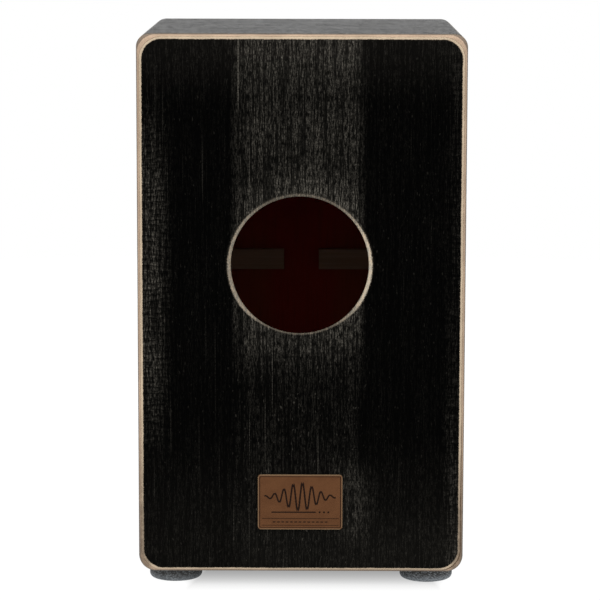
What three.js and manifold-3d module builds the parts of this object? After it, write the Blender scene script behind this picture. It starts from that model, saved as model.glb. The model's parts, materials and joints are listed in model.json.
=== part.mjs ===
// Cajon: a plywood box drum that the player sits on. The rear panel holds the sound hole, and the
// thin playing plate is on the opposite side, with a split snare bar and its snare wires behind it.
//
// Millimetres, +Z up, floor at z = 0. The sound hole is on the -Y side and the playing plate on the
// +Y side. The origin is at the centre of the footprint.

import * as THREE from "three";
import { mergeVertices } from "three/addons/utils/BufferGeometryUtils.js";
import Module from "manifold-3d";

const wasm = await Module();
wasm.setup();

// Body
const bodyWidth = 300;
const bodyDepth = 300;
const bodyHeight = 497;
const footHeight = 12;
const wallThickness = 12;
const rearPanelThickness = 4;
const playingPlateThickness = 3;
const topCornerRadius = 12.5;
const bottomCornerRadius = 15.5;
const edgeRoundInset = 5.2;
const edgeRoundDepth = 7;
const glueLine = 0.1;

// Sound hole
const soundHoleRadius = 63;
const soundHoleCentreX = -1.5;
const soundHoleHeight = 298.5;
const soundHoleEdgeRound = 2;

// Glue blocks in the four lengthwise corners
const glueBlockLeg = 18;
const glueBlockLength = 280;

// Badge
const badgeWidth = 78;
const badgeHeight = 51.5;
const badgeThickness = 1.5;
const badgeCornerRadius = 3;
const badgeBevel = 0.4;
const badgeCentreX = -0.7;
const badgeCentreHeight = 78.6;

// Feet and their fixings
const footCentreX = 117;
const footCentreY = 116;
const footRadius = 24.5;
const footEdgeRound = 4.2;
const footBoreRadius = 7;
const footWebThickness = 6;
const footScrewHoleRadius = 2.4;
const washer = { innerRadius: 2.5, outerRadius: 6, thickness: 1.2 };
const footScrew = { shaftRadius: 2, headRadius: 4, headHeight: 2.4, length: 17 };

// Snare bar: two halves behind the playing plate, with a gap between their inner ends
const snareBarHeight = 20.4;
const snareBarThickness = 10;
const snareBarFrontY = 144;
const snareBarCentreHeight = 266.6;
const snareBarGap = 35;
const snareBarGapCentreX = -1.5;
const barScrew = { shaftRadius: 1.75, headRadius: 3.4, headHeight: 1.6, length: 26 };
const barScrewSpread = 10;

// Cleats that carry the outer ends of the snare bar
const cleatWidth = 24;
const cleatDepth = 28;
const cleatHeight = 34;

// Snare sets
const snareWireCount = 10;
const snareWirePitch = 2.8;
const snareWireRadius = 0.9;
const snareWireLength = 150;
const snareSetCentreX = 92;
const snareWireGapToPlate = 0.3;
const snareStrapWidth = 30;
const snareStrapThickness = 1;
const lowerStrapHeight = 13;
const upperStrapHeight = 7;
const strapSolderHeight = 5;
const strapScrew = { shaftRadius: 1.2, headRadius: 2.6, headHeight: 1.4, length: 9 };
const strapScrewSpread = 18;

// Playing plate screws
const plateScrew = { shaftRadius: 1.5, headRadius: 3, headHeight: 1.5, length: 18 };
const plateScrewInset = 8.5;
const plateScrewsPerSide = 5;
const plateScrewsPerEnd = 2;

// Shared fits and facet counts
const screwHoleClearance = 0.3;
const cornerSegments = 8;
const edgeSegments = 5;
const soundHoleSegments = 72;
const footSegments = 28;
const screwSegments = 12;
const cutterMargin = 40;

// Derived places
const halfWidth = bodyWidth / 2;
const halfDepth = bodyDepth / 2;
const bodyBottom = footHeight;
const bodyTop = footHeight + bodyHeight;
const innerHalfWidth = halfWidth - wallThickness;
const innerBottom = bodyBottom + wallThickness;
const innerTop = bodyTop - wallThickness;
const rearPanelInnerY = -halfDepth + rearPanelThickness;
const plateInnerY = halfDepth - playingPlateThickness;
const wallRearY = rearPanelInnerY + glueLine;
const wallFrontY = plateInnerY - glueLine;

// Materials
const finish = (color, roughness, metalness = 0) =>
  new THREE.MeshStandardMaterial({ color, roughness, metalness });
const blackStain = () => finish(0x141312, 0.7);
const redStain = () => finish(0x4a1210, 0.6);
const rawWood = () => finish(0xc9a67c, 0.8);
const rubber = () => finish(0x2c2f33, 0.85);
const leather = () => finish(0x8c5a3c, 0.6);
const zincSteel = () => finish(0xa9abad, 0.35, 1);
const blackSteel = () => finish(0x1b1b1c, 0.4, 1);

// A three.js geometry as a solid that can be joined and cut.
function toSolid(geometry) {
  geometry.deleteAttribute("normal");
  geometry.deleteAttribute("uv");
  const merged = mergeVertices(geometry, 1e-4);
  return new wasm.Manifold(
    new wasm.Mesh({
      numProp: 3,
      vertProperties: Float32Array.from(merged.attributes.position.array),
      triVerts: Uint32Array.from(merged.index.array),
    }),
  );
}

function toGeometry(solid) {
  const mesh = solid.getMesh();
  const geometry = new THREE.BufferGeometry();
  geometry.setAttribute("position", new THREE.BufferAttribute(mesh.vertProperties, 3));
  geometry.setIndex(new THREE.BufferAttribute(mesh.triVerts, 1));
  geometry.computeVertexNormals();
  return geometry;
}

function piece(name, geometry, material) {
  const mesh = new THREE.Mesh(geometry, material);
  mesh.name = name;
  return mesh;
}

// A box between two corners.
function boxBetween([x0, y0, z0], [x1, y1, z1]) {
  const box = new THREE.BoxGeometry(x1 - x0, y1 - y0, z1 - z0);
  return box.translate((x0 + x1) / 2, (y0 + y1) / 2, (z0 + z1) / 2);
}

// An outline in X and Z carried along Y, from yLow to yHigh.
function prismAlongY(shape, yLow, yHigh) {
  const prism = new THREE.ExtrudeGeometry(shape, { depth: yHigh - yLow, bevelEnabled: false });
  return prism.rotateX(Math.PI / 2).translate(0, yHigh, 0);
}

function polygon(points) {
  return new THREE.Shape(points.map(([x, z]) => new THREE.Vector2(x, z)));
}

// A drill along Y, for a hole that starts at the open side yOpen and ends at yEnd.
function drillAlongY(radius, x, z, yOpen, yEnd) {
  const drill = new THREE.CylinderGeometry(radius, radius, Math.abs(yOpen - yEnd), screwSegments);
  return toSolid(drill.translate(x, (yOpen + yEnd) / 2, z));
}

// Outline of the body seen from the rear: flat sides with rounded corners.
function bodyOutline() {
  const outline = new THREE.Shape();
  const bottomX = halfWidth - bottomCornerRadius;
  const bottomZ = bodyBottom + bottomCornerRadius;
  const topX = halfWidth - topCornerRadius;
  const topZ = bodyTop - topCornerRadius;
  const quarter = Math.PI / 2;
  outline.absarc(bottomX, bottomZ, bottomCornerRadius, -quarter, 0);
  outline.absarc(topX, topZ, topCornerRadius, 0, quarter);
  outline.absarc(-topX, topZ, topCornerRadius, quarter, 2 * quarter);
  outline.absarc(-bottomX, bottomZ, bottomCornerRadius, 2 * quarter, 3 * quarter);
  return outline;
}

// The glued-up box as one block with its front and rear edges rounded over. Every panel is a
// slice of it, because the real edges are sanded after the box is glued.
function roundedBlock() {
  const block = new THREE.ExtrudeGeometry(bodyOutline(), {
    depth: bodyDepth - 2 * edgeRoundDepth,
    curveSegments: cornerSegments,
    bevelThickness: edgeRoundDepth,
    bevelSize: edgeRoundInset,
    bevelOffset: -edgeRoundInset,
    bevelSegments: edgeSegments,
  });
  block.rotateX(Math.PI / 2).translate(0, halfDepth - edgeRoundDepth, 0);
  return toSolid(block);
}

function sliceAlongY(solid, yLow, yHigh) {
  const slab = boxBetween(
    [-bodyWidth, yLow, -cutterMargin],
    [bodyWidth, yHigh, bodyTop + cutterMargin],
  );
  return solid.intersect(toSolid(slab));
}

// Cutter for the sound hole: a cylinder that flares out to round the hole's outer edge.
function soundHoleCutter() {
  const rimRadius = soundHoleRadius + soundHoleEdgeRound;
  const profile = [
    new THREE.Vector2(0, -halfDepth - cutterMargin),
    new THREE.Vector2(rimRadius, -halfDepth - cutterMargin),
  ];
  for (let step = 0; step <= edgeSegments; step += 1) {
    const angle = (step / edgeSegments) * (Math.PI / 2);
    profile.push(
      new THREE.Vector2(
        rimRadius - soundHoleEdgeRound * Math.sin(angle),
        -halfDepth + soundHoleEdgeRound * (1 - Math.cos(angle)),
      ),
    );
  }
  profile.push(new THREE.Vector2(soundHoleRadius, rearPanelInnerY + cutterMargin));
  profile.push(new THREE.Vector2(0, rearPanelInnerY + cutterMargin));
  const cutter = new THREE.LatheGeometry(profile, soundHoleSegments);
  return toSolid(cutter.translate(soundHoleCentreX, 0, soundHoleHeight));
}

function rearPanel(block) {
  const sheet = sliceAlongY(block, -halfDepth - cutterMargin, rearPanelInnerY);
  return piece("rear_panel", toGeometry(sheet.subtract(soundHoleCutter())), blackStain());
}

// Places of the playing plate's screws in X and Z, grouped by the wall that each one bites into.
function plateScrewPlaces() {
  const sideX = halfWidth - plateScrewInset;
  const lowZ = bodyBottom + 2 * plateScrewInset + bottomCornerRadius;
  const highZ = bodyTop - 2 * plateScrewInset - topCornerRadius;
  const places = { left: [], right: [], top: [], bottom: [] };
  for (let i = 0; i < plateScrewsPerSide; i += 1) {
    const z = lowZ + ((highZ - lowZ) * i) / (plateScrewsPerSide - 1);
    places.left.push([-sideX, z]);
    places.right.push([sideX, z]);
  }
  for (let i = 0; i < plateScrewsPerEnd; i += 1) {
    const x = -halfWidth + (bodyWidth * (i + 1)) / (plateScrewsPerEnd + 1);
    places.top.push([x, bodyTop - plateScrewInset]);
    places.bottom.push([x, bodyBottom + plateScrewInset]);
  }
  return places;
}

function playingPlate(block, places) {
  let sheet = sliceAlongY(block, plateInnerY, halfDepth + cutterMargin);
  const radius = plateScrew.shaftRadius + screwHoleClearance;
  for (const [x, z] of Object.values(places).flat()) {
    sheet = sheet.subtract(drillAlongY(radius, x, z, halfDepth + 1, plateInnerY - 1));
  }
  return piece("playing_plate", toGeometry(sheet), redStain());
}

// The region of a wall between its two mitres, in X and Z. Each mitre runs at 45 degrees through
// the box's inner corner, and is set back by half a glue line.
function mitreRegion(side) {
  const inward = 5;
  const outward = cutterMargin;
  const setBack = glueLine / Math.SQRT2;
  const lowSpan = innerHalfWidth - inward - setBack;
  const highSpan = innerHalfWidth + outward - setBack;
  if (side === "top") {
    return polygon([
      [-lowSpan, innerTop - inward],
      [lowSpan, innerTop - inward],
      [highSpan, innerTop + outward],
      [-highSpan, innerTop + outward],
    ]);
  }
  if (side === "bottom") {
    return polygon([
      [-highSpan, innerBottom - outward],
      [highSpan, innerBottom - outward],
      [lowSpan, innerBottom + inward],
      [-lowSpan, innerBottom + inward],
    ]);
  }
  const sign = side === "left" ? -1 : 1;
  const points = [
    [sign * (innerHalfWidth - inward), innerBottom + inward + setBack],
    [sign * (innerHalfWidth + outward), innerBottom - outward + setBack],
    [sign * (innerHalfWidth + outward), innerTop + outward - setBack],
    [sign * (innerHalfWidth - inward), innerTop - inward - setBack],
  ];
  return polygon(sign > 0 ? points : points.reverse());
}

function wall(ring, side, screwPlaces) {
  const region = prismAlongY(mitreRegion(side), -bodyDepth, bodyDepth);
  let board = ring.intersect(toSolid(region));
  const radius = plateScrew.shaftRadius + screwHoleClearance;
  const holeEndY = halfDepth - plateScrew.length - 1;
  for (const [x, z] of screwPlaces) {
    board = board.subtract(drillAlongY(radius, x, z, halfDepth, holeEndY));
  }
  return board;
}

// Underside of a foot's screw head, and the places of the four feet.
const footWebBottom = footHeight - footWebThickness;
const footScrewSeat = footWebBottom - washer.thickness - 2 * glueLine;
const footPlaces = [
  ["rear_left", -footCentreX, -footCentreY],
  ["rear_right", footCentreX, -footCentreY],
  ["front_left", -footCentreX, footCentreY],
  ["front_right", footCentreX, footCentreY],
];

function bottomPanel(ring, places) {
  let board = wall(ring, "bottom", places.bottom);
  const radius = footScrew.shaftRadius + screwHoleClearance;
  const holeTop = footScrewSeat + footScrew.length + 0.5;
  for (const [, x, y] of footPlaces) {
    const drill = new THREE.CylinderGeometry(radius, radius, holeTop, screwSegments);
    board = board.subtract(toSolid(drill.rotateX(Math.PI / 2).translate(x, y, holeTop / 2)));
  }
  return piece("bottom_panel", toGeometry(board), blackStain());
}

// Four boards mitred into a ring, open towards the rear panel and the playing plate.
function walls(block, places) {
  const cavity = boxBetween(
    [-innerHalfWidth, -bodyDepth, innerBottom],
    [innerHalfWidth, bodyDepth, innerTop],
  );
  const ring = sliceAlongY(block, wallRearY, wallFrontY).subtract(toSolid(cavity));
  return [
    piece("top_panel", toGeometry(wall(ring, "top", places.top)), blackStain()),
    bottomPanel(ring, places),
    piece("left_side_panel", toGeometry(wall(ring, "left", places.left)), blackStain()),
    piece("right_side_panel", toGeometry(wall(ring, "right", places.right)), blackStain()),
  ];
}

// Three-sided strips glued into the lengthwise corners.
function glueBlocks() {
  const corners = [
    ["upper_left", -1, 1],
    ["upper_right", 1, 1],
    ["lower_left", -1, -1],
    ["lower_right", 1, -1],
  ];
  const cornerX = innerHalfWidth - glueLine;
  return corners.map(([place, sx, sz]) => {
    const cornerZ = sz > 0 ? innerTop - glueLine : innerBottom + glueLine;
    const points = [
      [sx * cornerX, cornerZ],
      [sx * (cornerX - glueBlockLeg), cornerZ],
      [sx * cornerX, cornerZ - sz * glueBlockLeg],
    ];
    const outline = polygon(sx * sz > 0 ? points : points.reverse());
    const strip = prismAlongY(outline, -glueBlockLength / 2, glueBlockLength / 2);
    return piece(`${place}_glue_block`, strip, rawWood());
  });
}

// A turned part with its axis along Z, from [radius, height] points that run anticlockwise.
function turnedAlongZ(points, segments) {
  const profile = points.map(([radius, height]) => new THREE.Vector2(radius, height));
  return new THREE.LatheGeometry(profile, segments).rotateX(Math.PI / 2);
}

// A pan-head screw with its head's underside at the origin and its head towards +Y.
function screwGeometry({ shaftRadius, headRadius, headHeight, length }) {
  const profile = [
    [0, -length],
    [shaftRadius, -length + 2 * shaftRadius],
    [shaftRadius, 0],
    [headRadius, 0],
    [headRadius, 0.45 * headHeight],
    [0.65 * headRadius, headHeight],
    [0, headHeight],
  ].map(([radius, height]) => new THREE.Vector2(radius, height));
  return new THREE.LatheGeometry(profile, screwSegments);
}

function plateScrews(places) {
  const screws = [];
  for (const [edge, spots] of Object.entries(places)) {
    spots.forEach(([x, z], index) => {
      const name = `plate_screw_${edge}_${index + 1}`;
      const screw = piece(name, screwGeometry(plateScrew), blackSteel());
      screw.position.set(x, halfDepth + glueLine, z);
      screws.push(screw);
    });
  }
  return screws;
}

// Rubber foot: straight side, rounded lower edge, and a bore that hides its screw head.
function footGeometry() {
  const points = [
    [footScrewHoleRadius, footWebBottom],
    [footBoreRadius, footWebBottom],
    [footBoreRadius, 0],
    [footRadius - footEdgeRound, 0],
  ];
  for (let step = 1; step <= edgeSegments; step += 1) {
    const angle = (step / edgeSegments) * (Math.PI / 2);
    points.push([
      footRadius - footEdgeRound + footEdgeRound * Math.sin(angle),
      footEdgeRound * (1 - Math.cos(angle)),
    ]);
  }
  const footTop = footHeight - glueLine;
  points.push([footRadius, footTop]);
  points.push([footScrewHoleRadius, footTop]);
  points.push(points[0]);
  return turnedAlongZ(points, footSegments);
}

function washerGeometry() {
  const { innerRadius, outerRadius, thickness } = washer;
  const points = [
    [innerRadius, 0],
    [outerRadius, 0],
    [outerRadius, thickness],
    [innerRadius, thickness],
    [innerRadius, 0],
  ];
  return turnedAlongZ(points, screwSegments);
}

function feet() {
  return footPlaces.flatMap(([place, x, y]) => {
    const foot = piece(`${place}_foot`, footGeometry(), rubber());
    foot.position.set(x, y, 0);
    const disc = piece(`${place}_foot_washer`, washerGeometry(), zincSteel());
    disc.position.set(x, y, footScrewSeat + glueLine);
    const screw = piece(`${place}_foot_screw`, screwGeometry(footScrew), zincSteel());
    screw.position.set(x, y, footScrewSeat);
    screw.rotation.x = -Math.PI / 2;
    return [foot, disc, screw];
  });
}

// Inner and outer end of one half of the snare bar. The sign is -1 on the left, 1 on the right.
function snareBarEnds(sign) {
  const inner = snareBarGapCentreX + (sign * snareBarGap) / 2;
  const outer = sign * (innerHalfWidth - glueLine);
  return [inner, outer];
}

const snareBarRearY = snareBarFrontY - snareBarThickness;
const cleatFrontY = snareBarRearY - glueLine;
const cleatCentreX = innerHalfWidth - glueLine - cleatWidth / 2;
const lowerStrapCentreZ = snareBarCentreHeight;
const strapScrewZ = lowerStrapCentreZ - lowerStrapHeight / 2 + strapScrew.headRadius + 0.8;

function strapScrewPlaces(sign) {
  return [-1, 1].map((side) => [
    sign * snareSetCentreX + (side * strapScrewSpread) / 2,
    strapScrewZ,
  ]);
}

function barScrewPlaces(sign) {
  return [-1, 1].map((side) => [
    sign * cleatCentreX,
    snareBarCentreHeight + (side * barScrewSpread) / 2,
  ]);
}

function snareBar(name, sign) {
  const [inner, outer] = snareBarEnds(sign);
  let strip = toSolid(
    boxBetween(
      [Math.min(inner, outer), snareBarRearY, snareBarCentreHeight - snareBarHeight / 2],
      [Math.max(inner, outer), snareBarFrontY, snareBarCentreHeight + snareBarHeight / 2],
    ),
  );
  const strapHole = strapScrew.shaftRadius + screwHoleClearance;
  for (const [x, z] of strapScrewPlaces(sign)) {
    const holeEndY = snareBarFrontY - strapScrew.length;
    strip = strip.subtract(drillAlongY(strapHole, x, z, snareBarFrontY + 1, holeEndY));
  }
  const barHole = barScrew.shaftRadius + screwHoleClearance;
  for (const [x, z] of barScrewPlaces(sign)) {
    strip = strip.subtract(drillAlongY(barHole, x, z, snareBarFrontY + 1, snareBarRearY - 1));
  }
  return piece(name, toGeometry(strip), rawWood());
}

function barCleat(name, sign) {
  const x = sign * cleatCentreX;
  let block = toSolid(
    boxBetween(
      [x - cleatWidth / 2, cleatFrontY - cleatDepth, snareBarCentreHeight - cleatHeight / 2],
      [x + cleatWidth / 2, cleatFrontY, snareBarCentreHeight + cleatHeight / 2],
    ),
  );
  const hole = barScrew.shaftRadius + screwHoleClearance;
  const holeEndY = snareBarFrontY - barScrew.length;
  for (const [holeX, z] of barScrewPlaces(sign)) {
    block = block.subtract(drillAlongY(hole, holeX, z, cleatFrontY + 1, holeEndY));
  }
  return piece(name, toGeometry(block), rawWood());
}

// Snare set: a row of wires soldered to a strap at each end. The lower strap is screwed to the
// front of the snare bar, and the wires stand just behind the playing plate.
function snareSet(name, sign) {
  const centreX = sign * snareSetCentreX;
  const wireY = plateInnerY - snareWireGapToPlate - snareWireRadius;
  const strapRearY = snareBarFrontY + glueLine;
  const strapFrontY = strapRearY + snareStrapThickness;
  const lowerStrapTop = lowerStrapCentreZ + lowerStrapHeight / 2;
  const wireBottom = lowerStrapTop - strapSolderHeight;
  const wireTop = wireBottom + snareWireLength;

  const strap = (bottomZ, topZ) =>
    toSolid(
      boxBetween(
        [centreX - snareStrapWidth / 2, strapRearY, bottomZ],
        [centreX + snareStrapWidth / 2, strapFrontY, topZ],
      ),
    );
  let set = strap(lowerStrapTop - lowerStrapHeight, lowerStrapTop);
  for (const [x, z] of strapScrewPlaces(sign)) {
    const hole = strapScrew.shaftRadius + screwHoleClearance;
    set = set.subtract(drillAlongY(hole, x, z, strapFrontY + 1, strapRearY - 1));
  }
  set = set.add(strap(wireTop - upperStrapHeight + 1, wireTop + 1));
  for (let i = 0; i < snareWireCount; i += 1) {
    const x = centreX + (i - (snareWireCount - 1) / 2) * snareWirePitch;
    const wire = new THREE.CylinderGeometry(snareWireRadius, snareWireRadius, snareWireLength, 6);
    wire.rotateX(Math.PI / 2).translate(x, wireY, (wireBottom + wireTop) / 2);
    set = set.add(toSolid(wire));
  }
  return piece(name, toGeometry(set), zincSteel());
}

function screwsAt(prefix, spots, size, y) {
  return spots.map(([x, z], index) => {
    const screw = piece(`${prefix}_${index + 1}`, screwGeometry(size), zincSteel());
    screw.position.set(x, y, z);
    return screw;
  });
}

function snareSystem() {
  const strapFrontY = snareBarFrontY + glueLine + snareStrapThickness;
  return [["left", -1], ["right", 1]].flatMap(([side, sign]) => [
    snareBar(`${side}_snare_bar`, sign),
    barCleat(`${side}_snare_bar_cleat`, sign),
    snareSet(`${side}_snare_set`, sign),
    ...screwsAt(`${side}_bar_screw`, barScrewPlaces(sign), barScrew, snareBarFrontY + glueLine),
    ...screwsAt(`${side}_strap_screw`, strapScrewPlaces(sign), strapScrew, strapFrontY + glueLine),
  ]);
}

// Leather badge glued to the rear panel.
function badge() {
  const x = badgeWidth / 2 - badgeCornerRadius;
  const z = badgeHeight / 2 - badgeCornerRadius;
  const quarter = Math.PI / 2;
  const outline = new THREE.Shape();
  outline.absarc(x, -z, badgeCornerRadius, -quarter, 0);
  outline.absarc(x, z, badgeCornerRadius, 0, quarter);
  outline.absarc(-x, z, badgeCornerRadius, quarter, 2 * quarter);
  outline.absarc(-x, -z, badgeCornerRadius, 2 * quarter, 3 * quarter);
  const patch = new THREE.ExtrudeGeometry(outline, {
    depth: badgeThickness - 2 * badgeBevel,
    curveSegments: 5,
    bevelThickness: badgeBevel,
    bevelSize: badgeBevel,
    bevelOffset: -badgeBevel,
    bevelSegments: 2,
  });
  const mesh = piece("badge", patch.rotateX(Math.PI / 2), leather());
  mesh.position.set(badgeCentreX, -halfDepth - glueLine - badgeBevel, badgeCentreHeight);
  return mesh;
}

const block = roundedBlock();
const screwPlaces = plateScrewPlaces();
const cajon = new THREE.Group();
cajon.name = "cajon";
cajon.add(rearPanel(block));
cajon.add(playingPlate(block, screwPlaces));
cajon.add(...walls(block, screwPlaces));
cajon.add(...glueBlocks());
cajon.add(...snareSystem());
cajon.add(...plateScrews(screwPlaces));
cajon.add(...feet());
cajon.add(badge());

export default cajon;
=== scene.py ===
import json
import math

import bmesh
import bpy
import numpy as np
from mathutils import Matrix, Vector


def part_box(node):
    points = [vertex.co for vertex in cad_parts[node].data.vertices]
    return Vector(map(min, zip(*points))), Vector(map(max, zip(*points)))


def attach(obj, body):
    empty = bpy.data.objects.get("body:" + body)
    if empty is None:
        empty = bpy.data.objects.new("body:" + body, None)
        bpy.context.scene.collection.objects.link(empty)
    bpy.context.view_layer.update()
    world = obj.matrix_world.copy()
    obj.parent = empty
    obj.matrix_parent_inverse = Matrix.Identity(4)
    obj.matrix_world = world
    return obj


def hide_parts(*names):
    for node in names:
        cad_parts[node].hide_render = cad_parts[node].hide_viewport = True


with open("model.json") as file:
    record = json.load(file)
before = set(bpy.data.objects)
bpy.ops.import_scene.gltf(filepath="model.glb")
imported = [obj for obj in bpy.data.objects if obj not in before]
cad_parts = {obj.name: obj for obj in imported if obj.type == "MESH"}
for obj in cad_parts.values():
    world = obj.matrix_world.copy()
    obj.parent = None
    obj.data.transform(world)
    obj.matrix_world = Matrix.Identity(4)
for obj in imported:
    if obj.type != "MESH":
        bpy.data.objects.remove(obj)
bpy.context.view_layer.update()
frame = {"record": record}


# ------------------------
# Walls: four plywood boards mitred and glued into a ring, open at the back and the front.
# They are stained black after glueing, and the sander has rubbed the stain off their edges.

MM = 0.001
MERGE_GAP = 0.002 * MM
HALF_WIDTH = -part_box("left_side_panel")[0].x
HALF_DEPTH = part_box("playing_plate")[1].y
BODY_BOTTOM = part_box("bottom_panel")[0].z
BODY_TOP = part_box("top_panel")[1].z
MIDDLE_Z = (BODY_TOP + BODY_BOTTOM) / 2
WALL = BODY_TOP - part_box("top_panel")[0].z
TOP_CORNER_RADIUS = 12.5 * MM
BOTTOM_CORNER_RADIUS = 15.5 * MM
MEAN_CORNER_RADIUS = (TOP_CORNER_RADIUS + BOTTOM_CORNER_RADIUS) / 2
EDGE_INSET = 5.2 * MM
EDGE_DEPTH = 7 * MM
WALL_REAR_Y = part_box("top_panel")[0].y
WALL_FRONT_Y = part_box("top_panel")[1].y


def grid_quads(rows, columns, close_rows=False):
    """Quads joining each point of a rows x columns grid to its right and lower neighbours. The
    columns close into a ring, and so do the rows where close_rows."""
    row = np.arange(rows if close_rows else rows - 1)[:, None]
    column = np.arange(columns)[None, :]
    right = (column + 1) % columns
    here, below = row * columns, (row + 1) % rows * columns
    corners = [here + column, here + right, below + right, below + column]
    return np.stack(np.broadcast_arrays(*corners), axis=-1).reshape(-1, 4)


def end_caps(rows, columns):
    """Quads over both ends of a flattened tube: each joins two neighbours in the first half of a
    row to the two points across from them in its second half."""
    k = np.arange(columns // 2 - 1)
    cap = np.stack([k, k + 1, columns - 2 - k, columns - 1 - k], axis=1)
    return np.concatenate([cap, cap + (rows - 1) * columns])


def new_object(name, data):
    thing = bpy.data.objects.new(name, data)
    bpy.context.scene.collection.objects.link(thing)
    return thing


def place_piece(name, points, quads, finish, slot, replaced, crease=40, attributes=None):
    """Adds a mesh piece from its points in metres and its quads: merges what coincides, turns its
    faces outwards, keeps edges sharper than the crease angle, and stands it for its CAD nodes."""
    mesh = bpy.data.meshes.new(name)
    mesh.from_pydata(np.asarray(points, float).reshape(-1, 3), [], quads)
    for label, values in (attributes or {}).items():
        layer = mesh.attributes.new(label, "FLOAT", "POINT")
        layer.data.foreach_set("value", np.asarray(values, np.float32).ravel())
    shell = bmesh.new()
    shell.from_mesh(mesh)
    bmesh.ops.remove_doubles(shell, verts=shell.verts, dist=MERGE_GAP)
    bmesh.ops.dissolve_degenerate(shell, edges=shell.edges, dist=MERGE_GAP / 2)
    bmesh.ops.recalc_face_normals(shell, faces=shell.faces)
    shell.to_mesh(mesh)
    shell.free()
    mesh.shade_smooth()
    mesh.set_sharp_from_angle(angle=math.radians(crease))
    mesh.materials.append(finish)
    piece = new_object(name, mesh)
    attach(piece, "root")
    if replaced:
        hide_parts(*replaced)


def body_outline(arc_steps, long_steps, short_steps):
    """The body's outline seen from the rear, anticlockwise: X and Z of its points, and the outward
    direction at each. Four quarter circles of the corner radii joined by straight sides."""
    low_centre, high_centre = BODY_BOTTOM + BOTTOM_CORNER_RADIUS, BODY_TOP - TOP_CORNER_RADIUS
    corners = [(1, low_centre, BOTTOM_CORNER_RADIUS), (1, high_centre, TOP_CORNER_RADIUS),
               (-1, high_centre, TOP_CORNER_RADIUS), (-1, low_centre, BOTTOM_CORNER_RADIUS)]
    spots, outward = [], []
    for k, (side, level, radius) in enumerate(corners):
        angle = math.radians(90) * (k - 1 + np.linspace(0, 1, arc_steps + 1))
        direction = np.stack([np.cos(angle), np.sin(angle)], axis=1)
        centre = np.array([side * (HALF_WIDTH - radius), level])
        spots.append(centre + radius * direction)
        outward.append(direction)
        next_side, next_level, next_radius = corners[(k + 1) % 4]
        heading = direction[-1]
        next_centre = np.array([next_side * (HALF_WIDTH - next_radius), next_level])
        steps = long_steps if k % 2 == 0 else short_steps
        share = np.linspace(0, 1, steps + 2)[1:-1, None]
        spots.append(spots[-1][-1] * (1 - share) + (next_centre + next_radius * heading) * share)
        outward.append(np.repeat(heading[None], steps, axis=0))
    return np.concatenate(spots), np.concatenate(outward)


def edge_inset(depth):
    """How far the sanded edge lies inside the outline at a depth from the box's face: a quarter
    ellipse EDGE_INSET wide and EDGE_DEPTH deep."""
    reach = np.clip(1 - np.asarray(depth, float) / EDGE_DEPTH, 0, 1)
    return EDGE_INSET * (1 - np.sqrt(1 - reach**2))


class Value:
    """A socket of a finish. The usual operators on it add Math nodes."""

    def __init__(self, finish, socket):
        self.finish = finish
        self.socket = socket

    def math(self, operation, *others):
        return self.finish.node("Math", {"operation": operation}, [self, *others])

    def __add__(self, other):
        return self.math("ADD", other)

    def __sub__(self, other):
        return self.math("SUBTRACT", other)

    def __mul__(self, other):
        return self.math("MULTIPLY", other)

    def __truediv__(self, other):
        return self.math("DIVIDE", other)

    def __rsub__(self, other):
        return self.finish.node("Math", {"operation": "SUBTRACT"}, [other, self])

    __radd__ = __add__
    __rmul__ = __mul__

    def __abs__(self):
        return self.math("ABSOLUTE")

    def least(self, other):
        return self.math("MINIMUM", other)

    def most(self, other):
        return self.math("MAXIMUM", other)

    def power(self, exponent):
        return self.math("POWER", exponent)

    def ramp(self, low, high):
        """0 below low, 1 above high, and a smooth rise between them. high may be below low."""
        settings = {"interpolation_type": "SMOOTHSTEP"}
        return self.finish.node("MapRange", settings, {"Value": self, "From Min": low, "From Max": high})

    def near(self, centre, reach, fade):
        """1 within reach of centre, fading to 0 over fade."""
        return 1 - abs(self - centre).ramp(reach, reach + fade)


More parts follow.
